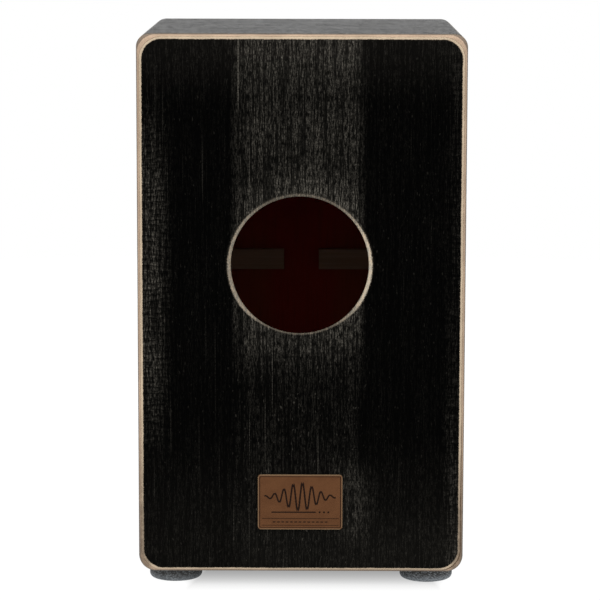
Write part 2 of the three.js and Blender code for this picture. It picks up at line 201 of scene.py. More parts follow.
class Finish:
    """A procedural material on a piece's own object coordinates."""

    def __init__(self, name):
        self.material = bpy.data.materials.new(name)
        self.material.use_nodes = True
        self.tree = self.material.node_tree
        self.shader = self.tree.nodes["Principled BSDF"]
        self.place = self.node("TexCoord", {}, {}, "Object")
        self.x, self.y, self.z = (self.node("SeparateXYZ", {}, [self.place], axis) for axis in "XYZ")

    def connect(self, socket, value):
        if isinstance(value, Value):
            self.tree.links.new(value.socket, socket)
        elif hasattr(socket.default_value, "__len__") and len(socket.default_value) == 4:
            socket.default_value = (*value[:3], 1)
        else:
            socket.default_value = value

    def node(self, kind, settings, sockets, output=0):
        """Adds one node: its kind, settings, sockets' values or links, and the output to use."""
        node = self.tree.nodes.new("ShaderNode" + kind)
        for setting, value in settings.items():
            setattr(node, setting, value)
        for key, value in (enumerate(sockets) if isinstance(sockets, list) else sockets.items()):
            self.connect(node.inputs[key], value)
        return Value(self, node.outputs[output])

    def mix(self, share, first, second):
        """A colour between first and second."""
        return self.node("Mix", {"data_type": "RGBA"}, {0: share, 6: first, 7: second}, 2)

    def noise(self, sizes, detail=2, roughness=0.5, shift=0.0, warp=0.0, at=None):
        """Noise from 0 to 1 whose features have the given sizes in millimetres along three axes."""
        scale = tuple(1 / (size * MM) for size in sizes)
        spot = self.node("Mapping", {}, {"Vector": at or self.place, "Scale": scale,
                                         "Location": (shift, shift * 1.7, shift * 0.6)})
        return self.node("TexNoise", {}, {"Vector": spot, "Scale": 1.0, "Detail": detail,
                                          "Roughness": roughness, "Distortion": warp})

    def hypot(self, a, b):
        return (a * a + b * b).power(0.5)

    def relief(self, height, depth_mm, strength=1.0):
        """Bumps of a depth in millimetres where height is 1."""
        sockets = {"Height": height, "Distance": depth_mm * MM, "Strength": strength}
        self.connect(self.shader.inputs["Normal"], self.node("Bump", {}, sockets, "Normal"))

    def surface(self, colour, roughness, specular=0.5, metallic=0.0, coat=0.0):
        """Sets what the shader shows, and gives the finished material."""
        shown = {"Base Color": colour, "Roughness": roughness, "Specular IOR Level": specular,
                 "Metallic": metallic, "Coat Weight": coat}
        for label, value in shown.items():
            self.connect(self.shader.inputs[label], value)
        return self.material


BLACK_STAIN = (0.0006, 0.0006, 0.0006)
RUBBED_STAIN = (0.285, 0.262, 0.218)
FACE_PLY = (0.64, 0.51, 0.365)
CORE_PLY = (0.575, 0.42, 0.3)


def darker(colour, share):
    return tuple(channel * share for channel in colour)


def depth_inside(f, half_width, low, high, radius):
    """Depth inside a rounded rectangle in X and Z, as the distance to its outline."""
    past_x = abs(f.x) - (half_width - radius)
    past_z = abs(f.z - (low + high) / 2) - ((high - low) / 2 - radius)
    corner = f.hypot(past_x.most(0), past_z.most(0))
    return radius - corner - past_x.most(past_z).least(0)


def stain_grain(f, across, along, shift=0.0):
    """Open grain that runs along one direction: short dashes, finer pores and long streaks."""
    flow = f.node("CombineXYZ", {}, [across, along, 0.0])
    dashes = f.noise((1.2, 9, 1), detail=3, roughness=0.65, shift=shift, at=flow)
    pores = f.noise((0.6, 2.6, 1), detail=1, shift=shift + 5, at=flow)
    streaks = f.noise((2.6, 46, 1), detail=3, roughness=0.6, shift=shift + 9, at=flow)
    return dashes, pores, streaks


def wall_finish(name, along_axis):
    """Black stain over plywood, under uneven lacquer, and rubbed thin along the box's lengthwise
    corners and its rims. The faces that look into the box are raw wood."""
    f = Finish(name)
    dashes, pores, streaks = stain_grain(f, f.y, getattr(f, along_axis), shift=2.0)
    cloud = f.noise((30, 30, 30), detail=3, shift=17.0)
    mottle = f.noise((5, 14, 9), detail=4, roughness=0.7, shift=33.0).ramp(0.38, 0.66)
    dust = dashes.ramp(0.45, 0.7) * streaks.ramp(0.4, 0.66)
    dust = dust * (0.05 + cloud.ramp(0.45, 0.7) * 0.25) + mottle * 0.05
    inset = depth_inside(f, HALF_WIDTH, BODY_BOTTOM, BODY_TOP, MEAN_CORNER_RADIUS)
    ragged = (f.noise((7, 45, 7), detail=4, roughness=0.7) - 0.5) * 4 * MM
    corner_reach = 9 * MM
    corner_x = abs(f.x) - (HALF_WIDTH - corner_reach)
    corner_z = abs(f.z - MIDDLE_Z) - ((BODY_TOP - BODY_BOTTOM) / 2 - corner_reach)
    on_corner = (corner_x.least(corner_z) + ragged).ramp(1.5 * MM, 5.2 * MM)
    lengthwise = f.noise((3, 26, 3), detail=4, roughness=0.7, shift=52.0)
    rubbed = on_corner * inset.near(0.0, 1.5 * MM, 1 * MM) * (0.3 + lengthwise.ramp(0.3, 0.65) * 0.5)
    inside = inset.ramp(2.5 * MM, 4 * MM)
    worn_rim = (HALF_DEPTH - abs(f.y)).ramp(15 * MM, 5 * MM) * (0.04 + streaks * 0.12)
    raw = f.mix(streaks, darker(CORE_PLY, 0.8), darker(FACE_PLY, 0.85))
    stained = f.mix(dust.least(1), BLACK_STAIN, RUBBED_STAIN)
    stained = f.mix(rubbed.most(worn_rim), stained, darker(FACE_PLY, 0.75))
    f.relief(dashes * 0.5 + pores * 0.5, 0.16, 0.7)
    satin = 0.36 + streaks.ramp(0.3, 0.7) * 0.16 + cloud * 0.06
    colour = f.mix(inside, stained, raw)
    return f.surface(colour, satin, specular=0.11, coat=mottle * 0.12)


def add_wall(node, name, direction, finish):
    """One board: the part of the outline that faces within 45 degrees of direction, carried from
    the rear to the front and drawn in at both ends, and joined to the flat inner face."""
    spots, outward = body_outline(32, 8, 6)
    facing = outward @ np.array(direction, float) > math.cos(math.radians(45)) - 1e-6
    first = int(np.flatnonzero(facing & ~np.roll(facing, 1))[0])
    chosen = np.roll(np.arange(len(spots)), -first)[: int(facing.sum())]
    spots, outward = spots[chosen], outward[chosen]
    inner_low = np.array([-HALF_WIDTH + WALL, BODY_BOTTOM + WALL])
    inner_high = np.array([HALF_WIDTH - WALL, BODY_TOP - WALL])
    inner = np.clip(spots, inner_low, inner_high)
    rounding = np.linspace(0, 1, 9)
    rear = WALL_REAR_Y + (EDGE_DEPTH - HALF_DEPTH - WALL_REAR_Y) * rounding
    front = WALL_FRONT_Y - (EDGE_DEPTH - HALF_DEPTH + WALL_FRONT_Y) * rounding[::-1]
    stations = np.concatenate([rear, front])
    inset = edge_inset(HALF_DEPTH - np.abs(stations))[:, None, None]
    outer_rows = spots[None] - inset * outward[None]
    loops = np.concatenate([outer_rows, np.repeat(inner[None, ::-1], len(stations), axis=0)], axis=1)
    depth = np.broadcast_to(stations[:, None], loops.shape[:2])
    points = np.stack([loops[..., 0], depth, loops[..., 1]], axis=-1)
    quads = np.concatenate([grid_quads(*depth.shape), end_caps(*depth.shape)])
    place_piece(name, points, quads, finish, "black_stained_plywood", [node])


upright_stain = wall_finish("side_wall_stain", "z")
level_stain = wall_finish("top_wall_stain", "x")
add_wall("left_side_panel", "left_side_board", (-1, 0), upright_stain)
add_wall("right_side_panel", "right_side_board", (1, 0), upright_stain)
add_wall("top_panel", "top_board", (0, 1), level_stain)
add_wall("bottom_panel", "bottom_board", (0, -1), level_stain)


# ------------------------
# Raw wood inside: glue blocks in the corners, and the cleats and halves of the snare bar.
# They are sawn and planed strips, left without stain, with their sharp edges eased.


BAR_EASE = 0.5 * MM
BLOCK_EASE = 0.8 * MM


def eased_section(corners, ease):
    """A convex section, anticlockwise, with each corner turned into an arc of radius ease: the
    arc's centre lies where the two neighbouring sides, moved in by ease, meet."""
    corners = np.asarray(corners, float)
    heading = np.roll(corners, -1, axis=0) - corners
    after = np.arctan2(heading[:, 1], heading[:, 0]) - math.radians(90)
    before = np.roll(after, 1)
    turn = (after - before) % (2 * math.pi)
    angle = before[:, None] + turn[:, None] * np.linspace(0, 1, 5)
    side = np.stack([np.cos(before) + np.cos(after), np.sin(before) + np.sin(after)], axis=1)
    centre = corners - ease * side / (1 + np.cos(turn))[:, None]
    outward = np.stack([np.cos(angle), np.sin(angle)], axis=-1)
    return (centre[:, None] + ease * outward).reshape(-1, 2), outward.reshape(-1, 2)


def eased_strip(corners, start, end, ease, order):
    """A section carried from start to end with its ends eased too: rows draw in to the section's
    middle at both ends. Order says which axes the section's two values and the length run along."""
    spots, outward = eased_section(corners, ease)
    turn = np.linspace(0, math.radians(90), 5)
    inset = ease * (1 - np.sin(turn))
    rise = ease * (1 - np.cos(turn))
    rows = [(spots - step * outward, start + up) for step, up in zip(inset, rise)]
    rows += [(spots - step * outward, end - up) for step, up in zip(inset[::-1], rise[::-1])]
    middle = np.broadcast_to(spots.mean(axis=0), spots.shape)
    rows = [(middle, start), *rows, (middle, end)]
    values = np.array([np.column_stack([row, np.full(len(row), level)]) for row, level in rows])
    points = np.empty_like(values)
    points[..., list(order)] = values
    return points, grid_quads(len(rows), len(spots))


def box_corners(low, high):
    """A rectangle's corners, anticlockwise, from its lowest and highest corner."""
    return [(low[0], low[1]), (high[0], low[1]), (high[0], high[1]), (low[0], high[1])]


def raw_wood_finish(name, along_axis, dark, light):
    """Raw planed wood with its grain along one axis: pale early wood, darker late wood, fine pores."""
    f = Finish(name)
    sizes = {"x": (90, 2.2, 2.2), "y": (2.2, 90, 2.2), "z": (2.2, 2.2, 90)}[along_axis]
    short = tuple(size * (0.12 if size > 10 else 0.25) for size in sizes)
    rings = f.noise(sizes, detail=3, roughness=0.6, warp=0.4)
    fibre = f.noise(short, detail=3, shift=5.0)
    base = f.mix(rings.ramp(0.3, 0.7), dark, light)
    worn = f.mix(fibre.ramp(0.5, 0.8) * 0.35, base, darker(dark, 0.6))
    f.relief(fibre * 0.6 + rings * 0.4, 0.08, 0.6)
    return f.surface(worn, 0.62 + fibre * 0.2, specular=0.3)


bar_wood = raw_wood_finish("snare_bar_wood", "x", (0.28, 0.19, 0.14), (0.34, 0.24, 0.19))
spruce = (0.44, 0.29, 0.15), (0.6, 0.43, 0.25)
block_wood = raw_wood_finish("glue_block_wood", "y", *spruce)
cleat_wood = raw_wood_finish("cleat_wood", "z", *spruce)


def add_strip(node, ending, section, run, order, ease, wood, slot):
    """A strip in its CAD node's place, from one end of its run to the other."""
    strip = eased_strip(section, *run, ease, order)
    place_piece(f"{node}_{ending}", *strip, wood, slot, [node], crease=60)


for side in ("left", "right"):
    bar, cleat = f"{side}_snare_bar", f"{side}_snare_bar_cleat"
    low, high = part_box(bar)
    section = box_corners((low.y, low.z), (high.y, high.z))
    add_strip(bar, "strip", section, (low.x, high.x), (1, 2, 0), BAR_EASE, bar_wood, "raw_beech_strip")
    low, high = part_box(cleat)
    section = box_corners((low.x, low.y), (high.x, high.y))
    run = (low.z, high.z)
    add_strip(cleat, "block", section, run, (0, 1, 2), BLOCK_EASE, cleat_wood, "spruce_block")
    for level in ("upper", "lower"):
        block = f"{level}_{side}_glue_block"
        low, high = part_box(block)
        corner_x, tip_x = (low.x, high.x) if side == "left" else (high.x, low.x)
        corner_z, tip_z = (high.z, low.z) if level == "upper" else (low.z, high.z)
        section = [(corner_x, corner_z), (tip_x, corner_z), (corner_x, tip_z)]
        if (side == "left") == (level == "upper"):
            section = section[::-1]
        run = (low.y, high.y)
        add_strip(block, "strip", section, run, (0, 2, 1), BLOCK_EASE, block_wood, "spruce_block")


# ------------------------
# Snare sets: ten coiled steel wires soldered to a stamped strap at each end. The lower strap is
# screwed to the front of the snare bar, and the wires lie against the back of the playing plate.

SNARE_WIRES = 10
SNARE_PITCH = 2.8 * MM
COIL_RADIUS = 0.7 * MM
WIRE_RADIUS = 0.2 * MM
COIL_PITCH = 1.5 * MM
STRAP_THICKNESS = 1 * MM
LOWER_STRAP_HEIGHT = 13 * MM
UPPER_STRAP_HEIGHT = 7 * MM
SOLDER_LENGTH = 5 * MM
SOLDER_HALF_WIDTH = 1 * MM
SOLDER_HEIGHT = 0.9 * MM


def wire_middles(centre_x):
    """X of each wire's middle line, one pitch apart and centred on centre_x."""
    steps = np.arange(SNARE_WIRES) - (SNARE_WIRES - 1) / 2
    return centre_x + steps[:, None, None] * SNARE_PITCH


def alike_tubes(x, y, z, capped):
    """Points and quads of tubes side by side. The coordinates count tubes, then rows along each
    tube, then columns round it."""
    points = np.stack(np.broadcast_arrays(x, y, z), axis=-1)
    tubes, rows, columns = points.shape[:3]
    quads = grid_quads(rows, columns)
    if capped:
        quads = np.concatenate([quads, end_caps(rows, columns)])
    quads = quads[None] + (np.arange(tubes) * rows * columns)[:, None, None]
    return points.reshape(-1, 3), quads.reshape(-1, 4)


def coiled_wires(centre_x, wire_y, bottom, top):
    """Ten helices side by side: a small circle carried round each helix, square to its run. A turn
    has ten steps and the wire four sides."""
    turns = (top - bottom) / COIL_PITCH
    along = np.linspace(0, 2 * math.pi * turns, int(turns * 10))[None, :, None]
    around = (np.arange(4) * math.pi / 2)[None, None, :]
    middle = wire_middles(centre_x)
    climb = COIL_PITCH / (2 * math.pi)
    slope = math.hypot(COIL_RADIUS, climb)
    reach = COIL_RADIUS + WIRE_RADIUS * np.cos(around)
    lift = WIRE_RADIUS * np.sin(around)
    x = middle + reach * np.cos(along) + lift * np.sin(along) * climb / slope
    y = wire_y + reach * np.sin(along) - lift * np.cos(along) * climb / slope
    z = bottom + climb * along + lift * COIL_RADIUS / slope
    return alike_tubes(x, y, z, capped=True)


def solder_beads(centre_x, face_y, level):
    """A row of long half-round beads: one ellipsoid over each wire's end."""
    lean = np.linspace(-math.pi / 2, math.pi / 2, 9)[None, :, None]
    around = np.linspace(0, 2 * math.pi, 12, endpoint=False)[None, None, :]
    x = wire_middles(centre_x) + SOLDER_HALF_WIDTH * np.cos(lean) * np.cos(around)
    y = face_y + SOLDER_HEIGHT * np.cos(lean) * np.sin(around)
    z = level + SOLDER_LENGTH / 2 * np.sin(lean)
    return alike_tubes(x, y, z, capped=False)


def joined(*meshes):
    """Several sets of points and quads as one."""
    starts = np.cumsum([0] + [len(points.reshape(-1, 3)) for points, _ in meshes])
    points = np.concatenate([points.reshape(-1, 3) for points, _ in meshes])
    return points, np.concatenate([quads + start for (_, quads), start in zip(meshes, starts)])


def steel_finish(name, colour, clouded, roughness):
    """Bare or plated steel: faint clouds of a second tone, fine drawn lines and dull smears."""
    f = Finish(name)
    clouds = f.noise((3, 3, 3), detail=3, roughness=0.6)
    lines = f.noise((0.3, 0.3, 5), shift=6.0)
    smears = f.noise((1.2, 1.2, 1.2), detail=3, roughness=0.7, shift=11.0)
    tint = f.mix(clouds.ramp(0.35, 0.65), colour, clouded)
    f.relief(lines * 0.5 + smears * 0.5, 0.02, 0.5)
    return f.surface(f.mix(lines.ramp(0.5, 0.8) * 0.3, tint, darker(colour, 0.6)),
                     roughness + smears.ramp(0.4, 0.75) * 0.22, metallic=1.0)


snare_wire_steel = steel_finish("snare_wire_steel", (0.66, 0.65, 0.63), (0.52, 0.5, 0.47), 0.22)
strap_steel = steel_finish("strap_steel", (0.58, 0.57, 0.55), (0.46, 0.44, 0.41), 0.32)

for side in ("left", "right"):
    node = f"{side}_snare_set"
    low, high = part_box(node)
    centre_x = (low.x + high.x) / 2
    strap_front = low.y + STRAP_THICKNESS
    wire_y = high.y - COIL_RADIUS - WIRE_RADIUS
    wire_bottom = low.z + LOWER_STRAP_HEIGHT - SOLDER_LENGTH
    wire_top = high.z - MM
    wires = coiled_wires(centre_x, wire_y, wire_bottom, wire_top)
    place_piece(node + "_wires", *wires, snare_wire_steel, "snare_steel", [node])
    straps = []
    for bottom, top in ((low.z, low.z + LOWER_STRAP_HEIGHT), (high.z - UPPER_STRAP_HEIGHT, high.z)):
        corners = box_corners((low.x, bottom), (high.x, top))
        straps.append(eased_strip(corners, low.y, strap_front, 0.35 * MM, (0, 2, 1)))
    beads = [solder_beads(centre_x, strap_front, wire_bottom + SOLDER_LENGTH / 2),
             solder_beads(centre_x, strap_front, wire_top - SOLDER_LENGTH / 2)]
    place_piece(node + "_straps", *joined(*straps, *beads), strap_steel, "snare_steel", [])


# ------------------------
# Screws: pan-head wood screws with a cross recess. Zinc-plated ones hold the cleats, the snare
# straps and the feet; black ones hold the playing plate, so that it can be taken off.


BAR_SCREW_HEAD = 1.6 * MM
STRAP_SCREW_HEAD = 1.4 * MM


def wood_screw(head_radius, head_height, length):
    """The two coordinates across a screw and its height, with its head's underside at height 0. The
    shaft is half as wide as the head, its thread is a sharp ridge that climbs one pitch each turn
    and fades at the tip and under the head, and two crossed slots are sunk into the domed top."""
    shaft, pitch = head_radius * 0.5, head_radius * 0.42
    steps = int(length / pitch) * 8
    height = np.linspace(-length, 0, steps)[:, None]
    around = np.linspace(0, 2 * math.pi, 40, endpoint=False)[None, :]
    ridge = 1 - np.abs(2 * ((height / pitch - around / (2 * math.pi)) % 1) - 1)
    taper = np.clip((height + length) / (2.4 * shaft), 0, 1)
    fade = np.clip(-height / (0.12 * length), 0, 1)
    core = shaft * (0.7 + 0.26 * (1 - fade))
    radius = taper * (core + (shaft - core) * ridge**2 * fade)
    lean = np.linspace(0, 1, 14)[:, None]
    side_radius = head_radius * np.array([0.5, 0.97, 1.0, 1.0])[:, None]
    side_height = head_height * np.array([0.0, 0.0, 0.06, 0.42])[:, None]
    dome_radius = head_radius * (1 - lean)
    dome_height = head_height * (0.42 + 0.58 * np.sqrt(1 - (1 - lean) ** 2.6))
    x = dome_radius * np.cos(around)
    y = dome_radius * np.sin(around)
    slot_edge = 0.04 * head_radius
    slot_half_width, slot_reach = 0.15 * head_radius, 0.55 * head_radius
    slot_depth = 0.55 * head_height
    narrow = np.clip((slot_half_width - np.minimum(np.abs(x), np.abs(y))) / slot_edge, 0, 1)
    short = np.clip((slot_reach - np.hypot(x, y)) / (3 * slot_edge), 0, 1)
    dome_height = dome_height - slot_depth * narrow * short
    flat = np.zeros_like(around)
    radii = np.concatenate([radius, side_radius + flat, dome_radius + flat])
    heights = np.concatenate([height + flat, side_height + flat, dome_height])
    return radii * np.cos(around), radii * np.sin(around), heights


def add_screw(node, head_height, finish, slot, downwards=False):
    """A screw in its CAD node's place. Its head is on the side of +Y, or below where downwards."""
    low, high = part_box(node)
    size, middle = high - low, (low + high) / 2
    head_radius = size.x / 2
    length = (size.z if downwards else size.y) - head_height
    across, over, height = wood_screw(head_radius, head_height, length)
    if downwards:
        points = np.stack([middle.x + across, middle.y + over, low.z + head_height - height], axis=-1)
    else:
        points = np.stack([middle.x + across, high.y - head_height + height, middle.z + over], axis=-1)
    place_piece(node + "_turned", points, grid_quads(*height.shape), finish, slot, [node], crease=50)


zinc_plate = steel_finish("zinc_plate", (0.6, 0.61, 0.63), (0.52, 0.53, 0.5), 0.3)
black_oxide = steel_finish("black_oxide", (0.035, 0.034, 0.034), (0.055, 0.05, 0.046), 0.38)

for side in ("left", "right"):
    for k in (1, 2):
        add_screw(f"{side}_bar_screw_{k}", BAR_SCREW_HEAD, zinc_plate, "zinc_screw")
        add_screw(f"{side}_strap_screw_{k}", STRAP_SCREW_HEAD, zinc_plate, "zinc_screw")


# ------------------------
# Playing plate: the thin plywood face that is struck, screwed over the front of the ring.
# Its veneer is dyed dark red right through, and its edge is rounded over with the box.

PLATE_INNER_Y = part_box("playing_plate")[0].y
PLATE_SCREW_HEAD = 1.5 * MM
BARE_INSET = 4.9 * MM
BARE_RADIUS = 18 * MM
PLY = 2.1 * MM
GLUE_LINE = (0.075, 0.045, 0.025)
GROUND_IN_DIRT = (0.15, 0.115, 0.085)
HANDLING_MARK = (0.16, 0.13, 0.105)


def rounded_edge(thickness, steps):
    """Inset inside the outline, and depth behind the face, of points along the sanded edge: the
    part of its quarter ellipse that a sheet of this thickness cuts off."""
    turn = np.linspace(0, math.acos(1 - thickness / EDGE_DEPTH), steps)
    return EDGE_INSET * (1 - np.sin(turn)), EDGE_DEPTH * (1 - np.cos(turn))


def sheet_of_rows(rows, close_rows=False):
    """Points and quads of a sheet whose rows are closed loops in X and Z, each at its own Y."""
    flat = np.array([row for row, _ in rows])
    depth = np.broadcast_to(np.array([y for _, y in rows])[:, None], flat.shape[:2])
    points = np.stack([flat[..., 0], depth, flat[..., 1]], axis=-1)
    return points, grid_quads(*depth.shape, close_rows=close_rows)


def playing_plate_surface():
    """A closed sheet: rows run from the middle of the front face out to the edge, over its
    rounding, and back to the middle of the inner face; columns run round the outline."""
    spots, outward = body_outline(24, 12, 8)
    middle = np.array([0, MIDDLE_Z])
    edge_in, edge_fall = rounded_edge(HALF_DEPTH - PLATE_INNER_Y, 11)
    face_edge = spots - EDGE_INSET * outward
    back_edge = spots - edge_in[-1] * outward
    shares = (0, 0.5, 0.93)
    rows = [(middle * (1 - w) + face_edge * w, HALF_DEPTH) for w in shares]
    rows += [(spots - inset * outward, HALF_DEPTH - fall) for inset, fall in zip(edge_in, edge_fall)]
    rows += [(middle * (1 - w) + back_edge * w, PLATE_INNER_Y) for w in shares[::-1]]
    return sheet_of_rows(rows)


def plies(f, layers, soiled):
    """Bare plywood seen on its edge. Layers counts from the face: the pale face ply down to 1, then
    a dark glue line, a browner core ply on end down to 3, a glue line and the inner ply. The first
    line is broadest low on the right. Soiled is the share of grey-brown dirt rubbed into the wood."""
    layers = layers + (f.noise((35, 35, 35), shift=3.0) - 0.5) * 0.5
    end_grain = f.noise((0.6, 0.6, 0.6), detail=3, roughness=0.6, shift=8.0)
    patches = f.noise((24, 24, 24), shift=14.0).ramp(0.38, 0.62)
    face = f.mix(end_grain.ramp(0.3, 0.7), darker(FACE_PLY, 0.82), FACE_PLY)
    core = f.mix(end_grain.ramp(0.3, 0.7), darker(CORE_PLY, 0.75), CORE_PLY)
    core = f.mix(patches * 0.45, core, darker(CORE_PLY, 0.6))
    bare = f.mix(soiled, f.mix(layers.ramp(0.9, 1.08), face, core), GROUND_IN_DIRT)
    low_right = f.z.ramp(210 * MM, 110 * MM) * f.x.ramp(-60 * MM, 130 * MM)
    line = (layers.near(1.0, 0.05, 0.1) * 0.6).most(layers.near(1.15, 0.12, 0.25) * low_right * 0.9)
    line = line.most(layers.near(3.0, 0.05, 0.1) * 0.6)
    return f.mix(line.most(layers.near(0.5, 0.08, 0.14) * patches * 0.3), bare, GLUE_LINE)


def sanded_edge(f, depth, lift, ragged, stained):
    """The bare border where the sander cut through the stain. It follows a rounded rectangle of its
    own, rounder than the box's corners, and shows the plies one outside the other: depth counts
    them on the sanded curve. Handling has left a dull smudge on the outermost edge."""
    stain_low, stain_high = BODY_BOTTOM + lift, BODY_TOP - BARE_INSET
    stain_depth = depth_inside(f, HALF_WIDTH - BARE_INSET, stain_low, stain_high, BARE_RADIUS) + ragged
    layers = (stain_depth * (-1 / PLY)).most(depth * (1 / MM))
    soiled = f.noise((5, 5, 5), detail=3, roughness=0.7, shift=44.0).ramp(0.25, 0.6) * 0.35 + 0.45
    by_side = abs(f.x).ramp(HALF_WIDTH - 14 * MM, HALF_WIDTH - 8 * MM)
    bare = plies(f, layers, soiled * by_side * f.z.ramp(170 * MM, 50 * MM))
    inset = depth_inside(f, HALF_WIDTH, BODY_BOTTOM, BODY_TOP, MEAN_CORNER_RADIUS)
    at_corner = stain_depth.ramp(-4.6 * MM, -7 * MM).most(f.z.ramp(90 * MM, 30 * MM) * 0.5)
    smudge = 1 - (inset + ragged * 0.8 - at_corner * 2.0 * MM).ramp(0.4 * MM, 1.6 * MM)
    outer = f.mix(1 - stain_depth.ramp(-0.5 * MM, 0.4 * MM), stained, bare)
    return f.mix(smudge * 0.8, outer, HANDLING_MARK)


def plate_finish():
    """Red dye with dark figure. The front is polished and its edge sanded bare; the inner face is
    dull, and its lower part is painted lighter, as if lit through the sound hole."""
    f = Finish("playing_plate_stain")
    dashes, pores, streaks = stain_grain(f, f.x, f.z, shift=40.0)
    front = f.y.ramp(PLATE_INNER_Y + 0.1 * MM, PLATE_INNER_Y + 0.3 * MM)
    cloud = f.noise((40, 1000, 90), shift=2.0).ramp(0.3, 0.7)
    figure = f.noise((7, 1000, 150), detail=4, roughness=0.65, shift=23.0, warp=0.5)
    # Painted light: the inner face's lower part is made lighter, and more olive away from the middle,
    # where light through the sound hole falls.
    lower = f.z.ramp(0.33, 0.25) * (1 - front)
    red = f.mix(cloud * (0.4 + 0.4 * front), (0.13, 0.005, 0.004), (0.25, 0.014, 0.01))
    olive = f.mix(abs(f.x).ramp(20 * MM, 45 * MM), (0.37, 0.036, 0.024), (0.32, 0.072, 0.034))
    red = f.mix(lower * 0.8, red, olive)
    figured = streaks.most(figure).ramp(0.5, 0.72) * (0.25 + 0.45 * front)
    brown = f.mix(figured, red, (0.075, 0.02, 0.008))
    grained = f.mix(dashes.ramp(0.5, 0.75) * (0.15 + 0.25 * front), brown, (0.3, 0.03, 0.02))
    grained = f.mix(pores.ramp(0.58, 0.72) * front * 0.5, grained, (0.04, 0.006, 0.004))
    ragged = (f.noise((1.6, 1.6, 1.6), detail=4, roughness=0.75, shift=16.0) - 0.5) * MM
    edged = sanded_edge(f, HALF_DEPTH - f.y, BARE_INSET, ragged, grained)
    f.relief(dashes * 0.6 + pores * 0.4, 0.1, 0.5)
    roughness = 0.92 - front * 0.5 + dashes * 0.08
    return f.surface(f.mix(front, grained, edged), roughness, specular=0.2)


place_piece("playing_sheet", *playing_plate_surface(), plate_finish(), "red_stained_plywood",
            ["playing_plate"], crease=50)

for edge, count in (("left", 5), ("right", 5), ("top", 2), ("bottom", 2)):
    for k in range(1, count + 1):
        add_screw(f"plate_screw_{edge}_{k}", PLATE_SCREW_HEAD, black_oxide, "black_screw")


# ------------------------
# Rear panel: thin plywood glued over the back of the ring, with the round sound hole.
# It is stained black, and dusty streaks and a pale ring are left where it was sanded back.
# A painted sheen lies near its top and bottom, and the ring's right side is painted lighter.

REAR_INNER_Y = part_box("rear_panel")[1].y
OPENINGS = {opening["name"]: opening["box_m"] for opening in frame["record"]["physics"]["openings"]}
hole_low, hole_high = OPENINGS["sound_hole"]
HOLE_X = (hole_low[0] + hole_high[0]) / 2
HOLE_Z = (hole_low[2] + hole_high[2]) / 2
HOLE_RADIUS = 63 * MM
HOLE_EDGE = 2 * MM


def rear_panel_surface():
    """A closed sheet round the hole: rows run from the hole's inner edge out through its rounded
    rim, across the face, over the sanded outer edge and back across the inner face; columns run
    round the hole. Each face row lies between the hole's circle and the outline."""
    spots, outward = body_outline(24, 110, 70)
    bearing = np.arctan2(spots[:, 1] - HOLE_Z, spots[:, 0] - HOLE_X)
    round_hole = np.stack([np.cos(bearing), np.sin(bearing)], axis=1)
    centre = np.array([HOLE_X, HOLE_Z])
    rim_turn = np.linspace(0, math.radians(90), 9)
    rim_radius = HOLE_RADIUS + HOLE_EDGE * (1 - np.cos(rim_turn))
    rim_y = -HALF_DEPTH + HOLE_EDGE * (1 - np.sin(rim_turn))
    edge_in, edge_fall = rounded_edge(HALF_DEPTH + REAR_INNER_Y, 13)
    rows = [(centre + HOLE_RADIUS * round_hole, REAR_INNER_Y)]
    rows += [(centre + r * round_hole, y) for r, y in zip(rim_radius, rim_y)]
    face_start, face_end = rows[-1][0], spots - EDGE_INSET * outward
    rows += [(face_start * (1 - w) + face_end * w, -HALF_DEPTH) for w in (0.06, 0.3, 0.6, 0.9)]
    rows += [(spots - inset * outward, fall - HALF_DEPTH) for inset, fall in zip(edge_in, edge_fall)]
    return sheet_of_rows(rows, close_rows=True)


